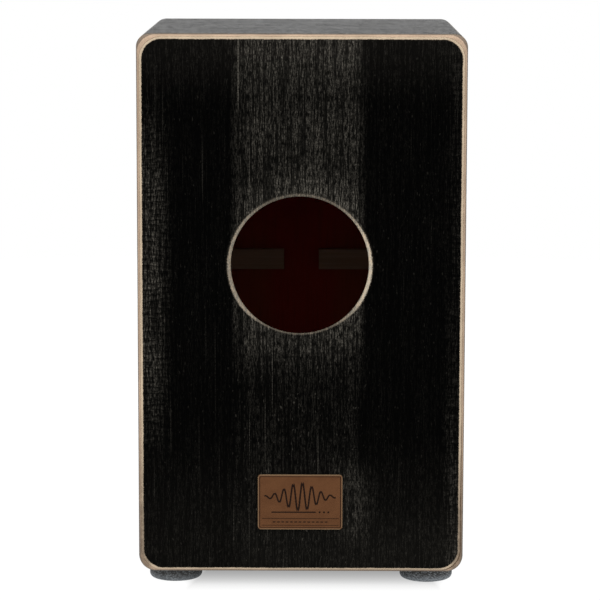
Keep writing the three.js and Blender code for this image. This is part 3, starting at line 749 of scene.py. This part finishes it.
def rear_dust_and_sheen(f, radial, level):
    """Share of pale dust left in the open grain, and of a painted sheen. A broad upright band is
    sanded thinnest around the hole, the left edge shows the cross-woven scratches of a sanding
    belt, and the rest is nearly clean, with a few long scratches and flecks. Pale veils near the
    top and bottom ends are a painted sheen."""
    flow = f.node("CombineXYZ", {}, [f.x, f.z, 0.0])
    dashes = f.noise((1.0, 7, 1), roughness=0.6, at=flow)
    pores = f.noise((0.9, 1.7, 1), detail=1, shift=5.0, at=flow)
    streaks = f.noise((1.6, 45, 1), detail=1.5, shift=9.0, at=flow)
    cloud = f.noise((26, 44, 1), detail=3, shift=4.0, at=flow).ramp(0.3, 0.7)
    threads = f.noise((9, 1.3, 1), roughness=0.7, shift=12.0, at=flow)
    belt_pitch = 5.6 * MM
    belt = (f.z * (2 * math.pi / belt_pitch) + threads * 7 + cloud * 9).math("SINE") * 0.5 + 0.5
    long_line = f.noise((1.3, 150, 1), detail=1, shift=21.0, at=flow)
    fleck = f.noise((1.2, 4, 1), detail=0, shift=31.0, at=flow)

    band = f.x.ramp(-66 * MM, -58 * MM) * f.x.ramp(60 * MM, 47 * MM)
    band = band * (0.5 + f.x.ramp(-58 * MM, -42 * MM) * 0.5)
    lower_pass = f.z.ramp(0.185, 0.245) * (0.014 + 0.014 * cloud) * (1 + f.z.ramp(0.3, 0.26) * 0.7)
    top_pass = f.z.ramp(0.45, 0.5) * 0.03 + f.z.near(0.42, 6 * MM, 25 * MM) * 0.015
    hole_pass = radial.ramp(100 * MM, 66 * MM) * (0.35 + 0.65 * level.ramp(-0.2, 0.9)) * 0.055
    middle = band * (lower_pass + top_pass + hole_pass + f.z.ramp(0.03, 0.1) * 0.008)
    left_edge = f.x.ramp(-116 * MM, -138 * MM) * f.z.ramp(0.1, 0.22) * f.z.ramp(0.47, 0.36) * 0.045
    right_edge = f.x.ramp(128 * MM, 144 * MM) * (0.008 + f.z.ramp(0.22, 0.05) * 0.022)
    by_badge = f.x.near(46 * MM, 6 * MM, 22 * MM) * f.z.near(78 * MM, 20 * MM, 26 * MM) * 0.024
    # Painted sheen: the pale veils near the top and bottom ends stand in for a reflection.
    ends = f.z.ramp(0.44, 0.505) * 0.015 + f.z.ramp(0.16, 0.03) * 0.011
    ends = ends + f.z.ramp(0.08, 0.03) * f.x.ramp(-64 * MM, -46 * MM) * 0.007

    hatch = dashes.ramp(0.4, 0.62) * (0.45 + pores.ramp(0.38, 0.62) * 1.1)
    hatch = 0.15 + hatch * (0.25 + streaks.ramp(0.38, 0.6) * 1.5) * 1.7
    hatch = hatch * (0.88 + belt * 0.24)
    weave = (0.25 + threads.ramp(0.4, 0.6) * 0.9 + belt * 0.6) * hatch
    scratch = f.x.near(-57.5 * MM, 0.3 * MM, 0.5 * MM) * f.z.ramp(0.43, 0.46)
    lines = (long_line.ramp(0.7, 0.77) * 0.12).most(scratch * 0.35) * (0.2 + pores.ramp(0.3, 0.6))
    flecks = fleck.ramp(0.76, 0.86) * 0.1
    dust = hatch * (middle + by_badge + 0.0026) + weave * (left_edge + right_edge)
    return dust + (0.6 + hatch * 0.4) * ends + (lines + flecks) * (0.3 + 0.7 * band), dashes, pores


def rear_finish():
    """Dusty black stain, with a painted sheen near its top and bottom. The hole's rounded rim shows a
    ragged bare ring, broadest below, and painted palest on the right, where light falls on it;
    level and side are the height and the X of a point on the hole's unit circle."""
    f = Finish("rear_panel_stain")
    radial = f.hypot(f.x - HOLE_X, f.z - HOLE_Z)
    level = (f.z - HOLE_Z) / radial
    # dust here also carries the painted sheen of the top and bottom ends.
    dust, dashes, pores = rear_dust_and_sheen(f, radial, level)
    stained = f.mix(dust.least(1), BLACK_STAIN, RUBBED_STAIN)
    fuzz = (f.noise((1.5, 1.5, 1.5), detail=4, roughness=0.8, shift=6.0) - 0.5) * 4.5 * MM
    wander = (f.noise((22, 22, 22), detail=1, shift=26.0) - 0.5) * 1.6 * MM
    edged = sanded_edge(f, f.y + HALF_DEPTH, 4.1 * MM, fuzz * 0.45 + wander * 0.5, stained)
    side = (f.x - HOLE_X) / radial
    ring_width = 0.5 + level.ramp(-1.0, -0.5) * 2.3 - level.ramp(0.1, 0.8) * 0.6
    ring_reach = HOLE_RADIUS + ring_width * MM
    fringe = (1 - (radial - ring_reach + fuzz).ramp(-1.0 * MM, 3.0 * MM)).power(2.0)
    ring = 1 - (radial - ring_reach + fuzz * 0.7 + wander * 0.4).ramp(-0.6 * MM, 1.0 * MM)
    # Painted light: the ring is made palest on the right, whose rim faces the light from the left.
    bareness_and_light = 0.19 + abs(side).ramp(0.4, 0.85) * 0.28 + side.ramp(0.72, 1.0) * 0.53
    bareness_and_light = bareness_and_light * (0.7 + dashes.ramp(0.35, 0.65) * 0.25 + pores.ramp(0.35, 0.65) * 0.35)
    ring_wood = f.mix(dashes.ramp(0.35, 0.65), darker(RUBBED_STAIN, 1.6), darker(FACE_PLY, 0.95))
    outer = f.mix((ring * bareness_and_light).most(fringe * 0.1 * level.ramp(-0.6, 0.3)), edged, ring_wood)
    inner = f.mix(dashes, darker(CORE_PLY, 0.85), darker(FACE_PLY, 0.85))
    behind = f.y.ramp(REAR_INNER_Y - 0.15 * MM, REAR_INNER_Y - 0.05 * MM)
    f.relief(dashes * 0.5 + pores * 0.5, 0.1, 0.5)
    return f.surface(f.mix(behind, outer, inner), 0.42 + dashes * 0.15, specular=0.006)


place_piece("rear_sheet", *rear_panel_surface(), rear_finish(), "black_stained_plywood",
            ["rear_panel"], crease=50)


# ------------------------
# Badge: a patch of thick brown leather glued under the hole. Its border and its mark, a burst
# of sound drawn as one line, are pressed in and darkened by the hot tool.

badge_low, badge_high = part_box("badge")
BADGE_X = (badge_low.x + badge_high.x) / 2
BADGE_Z = (badge_low.z + badge_high.z) / 2
BADGE_HALF_X = (badge_high.x - badge_low.x) / 2
BADGE_HALF_Z = (badge_high.z - badge_low.z) / 2
BADGE_CORNER = 3 * MM
BADGE_BEVEL = 0.4 * MM
PRESSED = 0.22 * MM


def stroke(distance, half_width):
    """1 on a pressed line, falling to 0 over a fifth of a millimetre at its sides."""
    return np.clip((half_width - distance) / (0.2 * MM) + 0.5, 0, 1)


def row_of_spots(x, pitch, centre, reach):
    """X from the nearest of a row of spots one pitch apart, or a far value past the row's reach."""
    nearest = (x - centre + pitch / 2) % pitch - pitch / 2
    return np.where(np.abs(x - centre) > reach, 1.0, nearest)


def badge_marks(x, z, edge):
    """Where the leather is pressed, from 0 to 1: a border along the edge, a sine wave under a bell
    curve, a line and three dots under it, and a row of dashes between two thin rules."""
    bell_reach, wave_length, wave_height = 20 * MM, 8.6 * MM, 11.5 * MM
    swing = 2 * math.pi / wave_length
    bell = np.exp(-((x / bell_reach) ** 2))
    wave = 5 * MM + wave_height * bell * np.sin(swing * x)
    slope = swing * np.cos(swing * x) - 2 * x / bell_reach**2 * np.sin(swing * x)
    off_wave = np.abs(z - wave) / np.sqrt(1 + (wave_height * bell * slope) ** 2)
    marks = stroke(off_wave, (0.68 + 0.22 * bell) * MM) * (np.abs(x) < 33 * MM)
    line = np.hypot(np.clip(np.abs(x + 6 * MM) - 20 * MM, 0, None), z + 9.5 * MM)
    dots = np.hypot(row_of_spots(x, 4 * MM, 22 * MM, 6 * MM), z + 9.5 * MM)
    rules = np.minimum(np.abs(z + 15.5 * MM), np.abs(z + 21.8 * MM))
    rules = np.where(np.abs(x) > 35.5 * MM, 1.0, rules)
    past_dash = np.clip(np.abs(row_of_spots(x, 4 * MM, 0, 26 * MM)) - 0.9 * MM, 0, None)
    dashes = np.hypot(past_dash, z + 18.7 * MM)
    border = np.abs(edge - 1.8 * MM)
    strokes = [(line, 0.55), (dots, 0.9), (rules, 0.28), (dashes, 0.5), (border, 0.34)]
    for distance, half_width in strokes:
        marks = np.maximum(marks, stroke(distance, half_width * MM))
    return marks


def badge_surface():
    """A flat tube of leather: each row runs over the front from left to right and back behind it.
    Row widths follow the corner circles, and the front drops over the bevel and into the marks."""
    straight_x, straight_z = BADGE_HALF_X - BADGE_CORNER, BADGE_HALF_Z - BADGE_CORNER
    turn = np.linspace(0, math.radians(90), 9)[:-1]
    corner_z = BADGE_HALF_Z - BADGE_CORNER * (1 - np.sin(turn[::-1]))
    close = BADGE_HALF_Z - np.array([0.0, 0.12, 0.25, 0.4]) * MM
    straight = np.linspace(-straight_z, straight_z, 140)
    rows = np.concatenate([straight, corner_z, -corner_z, close, -close])
    rows = np.unique(np.round(rows, 7))[:, None]
    past = np.clip(np.abs(rows) - straight_z, 0, BADGE_CORNER)
    width = straight_x + np.sqrt(BADGE_CORNER**2 - past**2)
    side = 1 - np.array([0.0, 0.003, 0.006, 0.01])
    columns = np.concatenate([-side, np.linspace(-0.985, 0.985, 230), side[::-1]])[None, :]
    x, z = width * columns, rows + 0 * columns
    past_x = np.abs(x) - straight_x
    past_z = np.abs(z) - straight_z
    corner = np.hypot(np.clip(past_x, 0, None), np.clip(past_z, 0, None))
    edge = BADGE_CORNER - corner - np.minimum(np.maximum(past_x, past_z), 0)
    over = np.clip(1 - edge / BADGE_BEVEL, 0, 1)
    marks = badge_marks(x, z, edge)
    front = badge_low.y + BADGE_BEVEL * (1 - np.sqrt(1 - over**2)) + PRESSED * marks
    back = np.full_like(x, badge_high.y)
    ring_x = np.concatenate([x, x[:, ::-1]], axis=1)
    ring_z = np.concatenate([z, z], axis=1)
    ring_y = np.concatenate([front, back], axis=1)
    points = np.stack([BADGE_X + ring_x, ring_y, BADGE_Z + ring_z], axis=-1)
    quads = np.concatenate([grid_quads(*ring_y.shape), end_caps(*ring_y.shape)])
    return points, quads, np.concatenate([marks, 0 * marks], axis=1)


def leather_finish():
    """Tanned leather, burnt where it is pressed, and pale along its edge as a painted highlight."""
    f = Finish("badge_leather")
    pressed = f.node("Attribute", {"attribute_name": "pressed"}, {}, "Fac")
    grain = f.noise((0.8, 0.8, 0.8), detail=3, roughness=0.6)
    creases = f.noise((2.6, 2.6, 1.6), roughness=0.6, shift=4.0, warp=0.6)
    cloud = f.noise((14, 14, 9), detail=3, shift=9.0)
    brown = f.mix(cloud.ramp(0.35, 0.65), (0.1, 0.041, 0.016), (0.115, 0.048, 0.019))
    brown = f.mix(grain.ramp(0.5, 0.75) * 0.4, brown, (0.06, 0.023, 0.01))
    # Painted highlight: a pale band along the leather's bevelled edge.
    inset_x = BADGE_HALF_X - abs(f.x - BADGE_X)
    inset_z = BADGE_HALF_Z - abs(f.z - BADGE_Z)
    worn = 1 - inset_x.least(inset_z).ramp(0.3 * MM, 1.3 * MM)
    coloured = f.mix(worn * 0.6, brown, (0.24, 0.17, 0.1))
    burnt = f.mix(pressed * 0.97, coloured, (0.006, 0.002, 0.001))
    f.relief(grain * 0.5 + creases * 0.5, 0.09, 0.6)
    return f.surface(burnt, 0.5 + grain * 0.2, specular=0.08)


badge_points, badge_quads, badge_pressed = badge_surface()
place_piece("leather_badge", badge_points, badge_quads, leather_finish(), "badge_leather", ["badge"],
            crease=70, attributes={"pressed": badge_pressed})


# ------------------------
# Feet: moulded rubber discs, each held by a zinc-plated screw and washer sunk in its bore.
# The lower edge is rounded, and the rubber is filled with pale chips.

FOOT_EDGE_ROUND = 4.2 * MM
FOOT_BORE = 7 * MM
FOOT_SCREW_HOLE = 2.4 * MM
FOOT_WEB = 6 * MM
FOOT_SCREW_HEAD = 2.4 * MM
WASHER_HOLE = 2.5 * MM


def arc(radius, centre_r, centre_z, start, end, steps):
    """Radius and height of points along part of a circle, between two angles in degrees."""
    angle = np.radians(np.linspace(start, end, steps))
    return np.stack([centre_r + radius * np.cos(angle), centre_z + radius * np.sin(angle)], axis=1)


def turned(profile, x, y, columns):
    """A closed profile of radius and height spun round an upright axis at x, y."""
    around = np.linspace(0, 2 * math.pi, columns, endpoint=False)[None, :]
    radius, height = profile[:, :1], profile[:, 1:]
    x, y = x + radius * np.cos(around), y + radius * np.sin(around)
    points = np.stack([x, y, height + 0 * around], axis=-1)
    return points, grid_quads(len(profile), columns, close_rows=True)


def foot_profile(radius, top):
    """Bore, flat underside with a shallow groove, rounded lower edge, straight side and flat top."""
    groove, depth = 15 * MM, 0.5 * MM
    grooved = arc(1.2 * MM, groove, depth - 1.2 * MM, 145, 35, 7)
    return np.concatenate([
        [(FOOT_SCREW_HOLE, top - FOOT_WEB), (FOOT_BORE, top - FOOT_WEB)],
        arc(0.7 * MM, FOOT_BORE + 0.7 * MM, 0.7 * MM, 180, 270, 5),
        np.maximum(grooved, 0),
        arc(FOOT_EDGE_ROUND, radius - FOOT_EDGE_ROUND, FOOT_EDGE_ROUND, -90, 0, 12),
        arc(0.6 * MM, radius - 0.6 * MM, top - 0.6 * MM, 0, 90, 5),
        [(FOOT_SCREW_HOLE, top)],
    ])


def rubber_finish():
    """Black rubber filled with pale chips, with grey scuffs low down, more so on the right; the top
    is left black as painted shade where the body's shadow falls.
    """
    f = Finish("foot_rubber")
    chips = f.noise((1.9, 1.9, 1.2), detail=3, roughness=0.75)
    dust = f.noise((0.5, 0.5, 0.5), shift=7.0)
    smear = f.noise((9, 9, 3), detail=3, shift=13.0)
    # Painted shade: only the lower part turns grey, so each foot's top stays black as if in the body's
    # shadow.
    scuffs_and_painted_shade = f.z.ramp(8 * MM, 1.5 * MM) * (0.25 + smear * 0.8 + f.x.ramp(-0.1, 0.12) * 0.45)
    base = f.mix(scuffs_and_painted_shade.least(1), (0.035, 0.034, 0.033), (0.125, 0.137, 0.15))
    speckles = chips.ramp(0.46, 0.66) * (0.45 + f.x.ramp(-0.1, 0.1) * 0.22)
    speckled = f.mix(speckles, base, (0.36, 0.39, 0.41))
    speckled = f.mix(dust.ramp(0.58, 0.72) * 0.5, speckled, (0.02, 0.02, 0.022))
    f.relief(chips * 0.6 + dust * 0.4, 0.12, 0.6)
    return f.surface(speckled, 0.72 + dust * 0.15, specular=0.3)


rubber = rubber_finish()
for place in ("rear_left", "rear_right", "front_left", "front_right"):
    foot, washer = f"{place}_foot", f"{place}_foot_washer"
    low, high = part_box(foot)
    x, y = (low.x + high.x) / 2, (low.y + high.y) / 2
    disc = turned(foot_profile((high.y - low.y) / 2, high.z), x, y, 96)
    place_piece(f"{foot}_disc", *disc, rubber, "foot_rubber", [foot], crease=50)
    low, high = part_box(washer)
    radius, ease = (high.x - low.x) / 2, 0.25 * MM
    ring = np.concatenate([arc(ease, WASHER_HOLE + ease, low.z + ease, 180, 270, 4),
                           arc(ease, radius - ease, low.z + ease, -90, 0, 4),
                           arc(ease, radius - ease, high.z - ease, 0, 90, 4),
                           arc(ease, WASHER_HOLE + ease, high.z - ease, 90, 180, 4)])
    ring = turned(ring, x, y, 48)
    place_piece(f"{washer}_ring", *ring, zinc_plate, "zinc_screw", [washer], crease=50)
    add_screw(f"{foot}_screw", FOOT_SCREW_HEAD, zinc_plate, "zinc_screw", downwards=True)


# ------------------------
# Studio: a pale floor that glows, with a soft shadow painted round the box into its glow, four
# soft lamps, and the camera at the height of a seated viewer.

FLOOR_RINGS = np.array([0.0, 0.3, 0.8, 2.2])[:, None]
FLOOR_SHADE = (0.36, 0.36, 0.36)
FLOOR_GLOW = (0.95, 0.95, 0.95)
WORLD_LIGHT = 0.25

turn = np.linspace(0, 2 * math.pi, 96, endpoint=False)
ring_x, ring_y = FLOOR_RINGS * np.cos(turn), FLOOR_RINGS * np.sin(turn)
flat = np.stack([ring_x, ring_y, 0 * ring_x], axis=-1)
floor_mesh = bpy.data.meshes.new("floor")
floor_mesh.from_pydata(flat.reshape(-1, 3), [], grid_quads(len(FLOOR_RINGS), len(turn)))
floor = new_object("floor", floor_mesh)
floor_paint = Finish("pale_floor")
floor_mesh.materials.append(floor_paint.surface((0.12, 0.12, 0.12), 0.9, specular=0.0))
# Painted shadow: the floor's glow is dimmed under and round the box, and full beyond.
past_depth = abs(floor_paint.y).ramp(85 * MM, 190 * MM)
past_width = abs(floor_paint.x - 12 * MM).ramp(98 * MM, 122 * MM)
glow_colour = floor_paint.mix(past_depth.most(past_width), FLOOR_SHADE, FLOOR_GLOW)
floor_paint.connect(floor_paint.shader.inputs["Emission Color"], glow_colour)
floor_paint.shader.inputs["Emission Strength"].default_value = 1.0


def soft_lamp(name, spot, target, size, power):
    lamp = bpy.data.lights.new(name, "AREA")
    lamp.shape = "RECTANGLE"
    lamp.size, lamp.size_y = size
    lamp.energy = power
    holder = new_object(name, lamp)
    holder.location = spot
    holder.rotation_euler = (Vector(target) - Vector(spot)).to_track_quat("-Z", "Y").to_euler()


soft_lamp("front_left_lamp", (-2.2, -1.9, 1.9), (0, 0, 0.25), (2.0, 2.0), 46)
soft_lamp("front_right_lamp", (2.2, -1.9, 1.9), (0, 0, 0.25), (2.0, 2.0), 41)
soft_lamp("overhead_lamp", (0, -0.2, 2.6), (0, 0, 0.5), (2.4, 2.4), 42)
soft_lamp("back_lamp", (0, 3.2, 1.2), (0, 0, 0.8), (4.4, 2.6), 28)

world = bpy.data.worlds.new("studio")
bpy.context.scene.world = world
world.use_nodes = True
backdrop = world.node_tree.nodes["Background"]
seen_directly = world.node_tree.nodes.new("ShaderNodeLightPath")
glow = world.node_tree.nodes.new("ShaderNodeMapRange")
glow.inputs["To Min"].default_value = WORLD_LIGHT
glow.inputs["To Max"].default_value = 1.0
world.node_tree.links.new(seen_directly.outputs["Is Camera Ray"], glow.inputs["Value"])
world.node_tree.links.new(glow.outputs["Result"], backdrop.inputs["Strength"])
backdrop.inputs["Color"].default_value = (1, 1, 1, 1)

CAMERA_SPOT = (0.01283, -2.66673, 0.63754)
CAMERA_PITCH, CAMERA_YAW, CAMERA_ROLL = (math.radians(angle) for angle in (8.38, 0.32, 0.125))
lens = bpy.data.cameras.new("camera")
lens.lens = 167.25
lens.sensor_width = 36
camera = new_object("camera", lens)
facing = Matrix.Rotation(CAMERA_YAW, 4, "Z") @ Matrix.Rotation(math.radians(90) - CAMERA_PITCH, 4, "X")
camera.matrix_world = Matrix.Translation(CAMERA_SPOT) @ facing @ Matrix.Rotation(CAMERA_ROLL, 4, "Z")
bpy.context.scene.camera = camera
bpy.context.scene.view_settings.view_transform = "Standard"
